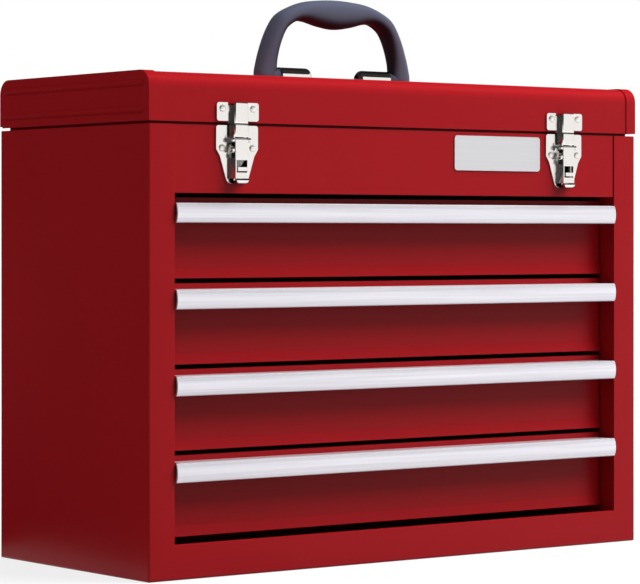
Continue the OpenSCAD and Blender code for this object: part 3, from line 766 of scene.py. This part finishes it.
# Radii and heights of a rivet, the sheets that it grips, and where the rivets sit.
RIVET_HEAD, RIVET_RIM, RIVET_RISE = 3 * MM, 0.3 * MM, 1.6 * MM
RIVET_SHANK, RIVET_GRIP = 1.6 * MM, 2.5 * MM
RIVET_TAIL, RIVET_TAIL_RISE = 2.4 * MM, 1.2 * MM
FRONT_RIVET_SPREAD = 15 * MM
SADDLE_RIVET_X, SADDLE_RIVET_SPREAD = 43 * MM, 12 * MM


class TOOLBOX_OT_rivets(bpy.types.Operator):
    """Sets the rivets of the latches and the saddles"""
    bl_idname = "toolbox.rivets"
    bl_label = "Rivets"

    def execute(self, context):
        rivet = lathe("rivet_source", self.profile())
        front = self.front_places("case_rivets", "latch_base")
        self.set_rivets("case_rivets", "cabinet", front, rivet)
        front = self.front_places("lid_rivets", "latch_keeper")
        self.set_rivets("lid_rivets", "lid", front + self.saddle_places(), rivet)
        bpy.data.objects.remove(rivet)
        return {"FINISHED"}

    @staticmethod
    def profile():
        """Radius and height from the top of the domed head down to the flattened tail."""
        crown = RIVET_RISE - RIVET_RIM
        dome = [(RIVET_HEAD * math.cos(a), RIVET_RIM + crown * math.sin(a))
                for a in [math.radians(75 - 15 * i) for i in range(6)]]
        ease = -RIVET_GRIP - RIVET_TAIL_RISE * 0.7
        end = -RIVET_GRIP - RIVET_TAIL_RISE
        return [(0, RIVET_RISE), *dome, (RIVET_HEAD, 0), (RIVET_SHANK, 0),
                (RIVET_SHANK, -RIVET_GRIP), (RIVET_TAIL, -RIVET_GRIP), (RIVET_TAIL, ease),
                (RIVET_TAIL * 0.8, end), (0, end)]

    @staticmethod
    def front_places(node, plate):
        """Points and facings of the two rivets on the plate of each latch."""
        lo = low(node)
        places = []
        for side in SIDES:
            x = middle(f"{plate}_{side}").x
            for offset in (-FRONT_RIVET_SPREAD, FRONT_RIVET_SPREAD):
                places.append(((x + offset, lo.y + RIVET_RISE, lo.z + RIVET_HEAD), (0, -1, 0)))
        return places

    @staticmethod
    def saddle_places():
        """Points and facings of the two rivets on each saddle."""
        top = high("lid_rivets").z - RIVET_RISE
        places = []
        for side, sign in SIDES.items():
            y = middle(f"handle_saddle_{side}").y
            for offset in (-SADDLE_RIVET_SPREAD, SADDLE_RIVET_SPREAD):
                places.append(((sign * SADDLE_RIVET_X, y + offset, top), (0, 0, 1)))
        return places

    @staticmethod
    def set_rivets(node, body, places, rivet):
        mesh = bpy.data.meshes.new(node)
        mesh.from_pydata([p for p, _ in places], [], [])
        facing = mesh.attributes.new("facing", "FLOAT_VECTOR", "POINT")
        for item, (_, way) in zip(facing.data, places):
            item.vector = way
        points = in_scene(node + "_points", mesh)
        material = materials()["rivet"]
        add_tree(points, rivet_tree(),
                 {"Rivet": rivet, "Scale": 1.0, "Seed": 7, "Finish": material})
        piece = piece_of(evaluated_mesh(points), node + "_piece", material)
        smooth(piece, corner=40)
        finish(piece, body, node)


# From a foot to the middle: distance from the middle and height above the axle, then half the
# width and half the depth of the section, all in millimetres. The other half mirrors it.
GRIP_STATIONS = [
    (72.4, 2, 11, 6.2), (71.5, 9, 10, 6.6), (69.9, 16.8, 8.9, 7.4), (66.1, 28.7, 7.6, 8.8),
    (60.6, 40, 6.7, 9.8), (54.3, 47.4, 6.8, 10.3), (43, 53.2, 6.8, 10.5),
    (30.4, 55.3, 8.8, 10.6), (14.9, 54.5, 11.5, 10.8), (0, 53.8, 12.7, 10.8),
]
STATION_STEPS = 6
FOOT_RINGS = 8
SECTION_POWER = 0.8
BOSS_INNER, BOSS_RADIUS, BOSS_RIM, BOSS_EASE = 59.0, 5.8, 0.7, 0.2
# The point that the painted shade on the grip's inner side faces, and how the shade grows with
# facing.
HAND_RISE = 22.0
PALM_SHADE_LEAST, PALM_SHADE_GAIN = 0.05, 1.7


class TOOLBOX_OT_grip(bpy.types.Operator):
    """Sweeps the moulded grip through its stations"""
    bl_idname = "toolbox.grip"
    bl_label = "Grip"

    def execute(self, context):
        axis = Vector((0, *middle("handle_axle_right").yz))
        rings = self.rings()
        bm = bmesh.new()
        rows = [self.ring_points(rings, k, axis) for k in range(len(rings))]
        verts = grid_faces(bm, rows, rings=True)
        bm.faces.new(verts[0])
        bm.faces.new(verts[-1])
        for sign in SIDES.values():
            self.boss(bm, sign, axis)
        close(bm)
        self.mark_palm_shade(bm, axis)
        piece = piece_from(bm, "handle_grip_piece", materials()["grip"])
        smooth(piece, corner=50)
        finish(piece, "handle", "handle_grip")
        return {"FINISHED"}

    @staticmethod
    def mark_palm_shade(bm, axis):
        """Stores how far each point faces the middle of the hand space, as the strength of the
        painted shade.
        """
        layer = bm.verts.layers.float.new("palm")
        hand = axis + Vector((0, 0, HAND_RISE * MM))
        for v in bm.verts:
            inward = Vector((hand.x - v.co.x, 0, hand.z - v.co.z)).normalized()
            facing = PALM_SHADE_LEAST + PALM_SHADE_GAIN * v.normal.dot(inward)
            v[layer] = min(1, max(0, facing))

    @staticmethod
    def boss(bm, sign, axis, sides=40):
        """The short round boss of a foot, with an eased rim, that meets the saddle."""
        root = GRIP_STATIONS[0][0]
        profile = [(BOSS_INNER, 0), (BOSS_INNER, BOSS_RADIUS - BOSS_RIM),
                   (BOSS_INNER + BOSS_EASE, BOSS_RADIUS - BOSS_EASE),
                   (BOSS_INNER + BOSS_RIM, BOSS_RADIUS), (root, BOSS_RADIUS), (root, 0)]
        rings = []
        for x, radius in profile:
            angles = [math.tau * i / sides for i in range(sides if radius else 1)]
            rings.append([bm.verts.new((sign * x * MM, axis.y + radius * MM * math.cos(a),
                                        axis.z + radius * MM * math.sin(a))) for a in angles])
        for one, two in zip(rings, rings[1:]):
            for i in range(sides):
                j = (i + 1) % sides
                corners = [one[i % len(one)], one[j % len(one)],
                           two[j % len(two)], two[i % len(two)]]
                bm.faces.new(list(dict.fromkeys(corners)))

    @staticmethod
    def rings():
        """Every ring of the sweep: a round foot, the curve through the stations, a round foot."""
        mirrored = [(-x, z, w, d) for x, z, w, d in reversed(GRIP_STATIONS[:-1])]
        full = GRIP_STATIONS + mirrored
        foot_x, _, foot_w, foot_r = GRIP_STATIONS[0]
        foot = []
        for k in range(1, FOOT_RINGS + 1):
            a = math.radians(-90 + 90 * k / (FOOT_RINGS + 1))
            foot.append((foot_x, foot_r * math.sin(a), foot_w, foot_r * math.cos(a)))
        swept = []
        for i in range(len(full) - 1):
            near = [full[max(i - 1, 0)], full[i], full[i + 1], full[min(i + 2, len(full) - 1)]]
            swept.extend(catmull(near, step / STATION_STEPS) for step in range(STATION_STEPS))
        swept.append(full[-1])
        return foot + swept + [(-x, z, w, d) for x, z, w, d in reversed(foot)]

    @staticmethod
    def ring_points(rings, k, axis):
        """The rounded section at a ring, square to the run of the sweep."""
        x, z, half_w, half_d = rings[k]
        before, after = rings[max(k - 1, 0)], rings[min(k + 1, len(rings) - 1)]
        run = Vector((after[0] - before[0], after[1] - before[1]))
        if k < FOOT_RINGS:
            run = Vector((0, 1))
        elif k >= len(rings) - FOOT_RINGS:
            run = Vector((0, -1))
        run.normalize()
        sides = settings("grip").sides
        points = []
        for i in range(sides):
            a = math.tau * i / sides
            wide = half_w * math.copysign(abs(math.cos(a)) ** SECTION_POWER, math.cos(a))
            deep = half_d * math.copysign(abs(math.sin(a)) ** SECTION_POWER, math.sin(a))
            points.append((axis.x + (x + run.y * wide) * MM, axis.y + deep * MM,
                           axis.z + (z - run.x * wide) * MM))
        return points


def catmull(p, t):
    """The point at t between the middle two of four stations, on a curve through all of them."""
    a, b, c, d = p
    return tuple(0.5 * (2 * b[i] + (c[i] - a[i]) * t
                        + (2 * a[i] - 5 * b[i] + 4 * c[i] - d[i]) * t * t
                        + (3 * b[i] - a[i] - 3 * c[i] + d[i]) * t ** 3) for i in range(len(a)))


# ---------------------------------------------------------------- stage

# Name, place, aim, width, and the stage setting that holds the power.
LAMPS = (
    ("key_light", (1.75, -1.35, 2.90), (0, 0, 0.2), 3.0, "key"),
    ("side_light", (-3.0, 0.9, 0.9), (0, 0, 0.2), 2.0, "side"),
)
# Name, place, aim, width, and the card's share of the card tone.
CARDS = (
    ("card_rear", (-2.0, 3.2, 0.6), (0, 0, 0.3), 6.0, 0.25),
    ("card_left", (-3.6, -0.4, 0.9), (0, 0, 0.9), 4.4, 1.0),
    ("card_near", (-2.9, -3.4, 0.9), (0, 0, 0.9), 4.0, 1.0),
    ("card_low", (-1.95, 1.3, 0.002), (-1.95, 1.3, 1.0), 3.3, 0.25),
    ("card_behind", (0.9, 1.35, 0.002), (0.9, 1.35, 1.0), 2.4, 1.0),
    ("card_top", (0.0, 0.0, 5.0), (0, 0, 0.3), 20.0, 1.0),
)
CAMERA_PLACE = (-1.5128, -1.9908, 0.2740)
CAMERA_YAW = 37.11
CAMERA_SHIFT = -0.0922


class TOOLBOX_OT_stage(bpy.types.Operator):
    """Makes the floor, the lights, the world and the camera"""
    bl_idname = "toolbox.stage"
    bl_label = "Studio"

    def execute(self, context):
        s = settings("stage")
        self.floor()
        self.world(s.fill)
        for name, place, aim, width, power in LAMPS:
            self.light(name, place, aim, width, getattr(s, power))
        for name, place, aim, width, share in CARDS:
            self.card(name, place, aim, width, s.card_tone * share)
        self.camera(s.lens)
        context.scene.view_settings.view_transform = "Standard"
        return {"FINISHED"}

    @staticmethod
    def floor():
        """A grey floor that shows white, and a little less white close to the box."""
        half, drop = 30.0, 0.2 * MM
        bm = bmesh.new()
        corners = [(-half, -half), (half, -half), (half, half), (-half, half)]
        bm.faces.new([bm.verts.new((x, y, -drop)) for x, y in corners])
        made, tree, shader = new_material("studio_floor")
        shader.inputs["Base Color"].default_value = (0.2, 0.2, 0.2, 1)
        shader.inputs["Roughness"].default_value = 0.9
        shader.inputs["Specular IOR Level"].default_value = 0.0
        path = tree.nodes.new("ShaderNodeLightPath")
        seen = node_in(tree, "ShaderNodeMath", operation="MAXIMUM")
        link(tree, path.outputs["Is Camera Ray"], seen.inputs[0])
        link(tree, path.outputs["Is Glossy Ray"], seen.inputs[1])
        where = tree.nodes.new("ShaderNodeTexCoord")
        away = node_in(tree, "ShaderNodeVectorMath", operation="LENGTH")
        link(tree, where.outputs["Object"], away.inputs[0])
        level = node_in(tree, "ShaderNodeMapRange",
                        **{"From Min": 0.4, "From Max": 1.6, "To Min": 0.8, "To Max": 1.0})
        link(tree, away.outputs["Value"], level.inputs["Value"])
        glow = node_in(tree, "ShaderNodeMath", operation="MULTIPLY")
        link(tree, seen.outputs[0], glow.inputs[0])
        link(tree, level.outputs["Result"], glow.inputs[1])
        shader.inputs["Emission Color"].default_value = (1, 1, 1, 1)
        link(tree, glow.outputs[0], shader.inputs["Emission Strength"])
        piece = piece_from(bm, "studio_floor", made)

    @staticmethod
    def world(fill):
        """Even light all round, plain white to the camera and to reflections."""
        world = bpy.data.worlds.new("studio_world")
        bpy.context.scene.world = world
        world.use_nodes = True
        tree = world.node_tree
        back = tree.nodes["Background"]
        path = tree.nodes.new("ShaderNodeLightPath")
        seen = node_in(tree, "ShaderNodeMath", operation="MAXIMUM")
        through = node_in(tree, "ShaderNodeMath", operation="MAXIMUM")
        link(tree, path.outputs["Is Camera Ray"], seen.inputs[0])
        link(tree, path.outputs["Is Glossy Ray"], seen.inputs[1])
        link(tree, seen.outputs[0], through.inputs[0])
        link(tree, path.outputs["Is Transmission Ray"], through.inputs[1])
        level = node_in(tree, "ShaderNodeMapRange", **{"To Min": fill, "To Max": 1.0})
        link(tree, through.outputs[0], level.inputs["Value"])
        back.inputs["Color"].default_value = (1, 1, 1, 1)
        link(tree, level.outputs["Result"], back.inputs["Strength"])

    @staticmethod
    def light(name, place, aim, width, power):
        """A round lamp that reflections don't see."""
        data = bpy.data.lights.new(name, "AREA")
        data.shape = "DISK"
        data.size = width
        data.energy = power
        lamp = in_scene(name, data)
        lamp.location = place
        lamp.rotation_euler = (Vector(aim) - Vector(place)).to_track_quat("-Z", "Y").to_euler()
        lamp.visible_glossy = False

    @staticmethod
    def card(name, place, aim, width, tone):
        """A dark card that only reflections see."""
        bm = bmesh.new()
        bmesh.ops.create_grid(bm, x_segments=1, y_segments=1, size=width / 2)
        turn = (Vector(aim) - Vector(place)).to_track_quat("Z", "Y")
        for v in bm.verts:
            v.co = turn @ v.co + Vector(place)
        made, _, shader = new_material(name)
        shader.inputs["Base Color"].default_value = (0, 0, 0, 1)
        shader.inputs["Specular IOR Level"].default_value = 0.0
        shader.inputs["Emission Color"].default_value = (tone, tone, tone, 1)
        shader.inputs["Emission Strength"].default_value = 1.0
        piece = piece_from(bm, name, made)
        piece.visible_camera = False
        piece.visible_diffuse = False
        piece.visible_transmission = False
        piece.visible_shadow = False

    @staticmethod
    def camera(lens):
        """A level camera with a shifted picture, so that upright edges stay upright."""
        data = bpy.data.cameras.new("camera")
        data.lens = lens
        data.sensor_width = 36.0
        data.shift_y = CAMERA_SHIFT
        data.clip_start, data.clip_end = 0.05, 100
        camera = in_scene("camera", data)
        camera.location = CAMERA_PLACE
        camera.rotation_euler = (math.pi / 2, 0, -math.radians(CAMERA_YAW))
        bpy.context.scene.camera = camera


class TOOLBOX_PT_panel(bpy.types.Panel):
    """Lists the steps that build the tool box"""
    bl_idname = "TOOLBOX_PT_panel"
    bl_label = "Tool box"
    bl_space_type = "VIEW_3D"
    bl_region_type = "UI"
    bl_category = "Tool box"

    def draw(self, context):
        for group in SETTINGS:
            box = self.layout.box()
            box.label(text=group.capitalize())
            for name in SETTINGS[group].__annotations__:
                box.prop(settings(group), name)
        for operator in OPERATORS:
            self.layout.operator(operator.bl_idname)


OPERATORS = (
    TOOLBOX_OT_stage, TOOLBOX_OT_case, TOOLBOX_OT_drawers, TOOLBOX_OT_fittings,
    TOOLBOX_OT_latches, TOOLBOX_OT_springs, TOOLBOX_OT_rivets, TOOLBOX_OT_grip,
)


def register():
    for group, kind in SETTINGS.items():
        bpy.utils.register_class(kind)
        setattr(bpy.types.Scene, "tool_box_" + group, bpy.props.PointerProperty(type=kind))
    for kind in (*OPERATORS, TOOLBOX_PT_panel):
        bpy.utils.register_class(kind)


def unregister():
    for kind in (TOOLBOX_PT_panel, *reversed(OPERATORS)):
        bpy.utils.unregister_class(kind)
    for group, kind in SETTINGS.items():
        delattr(bpy.types.Scene, "tool_box_" + group)
        bpy.utils.unregister_class(kind)


def main():
    register()
    for operator in OPERATORS:
        section, name = operator.bl_idname.split(".")
        getattr(getattr(bpy.ops, section), name)()


if __name__ == "__main__":
    main()
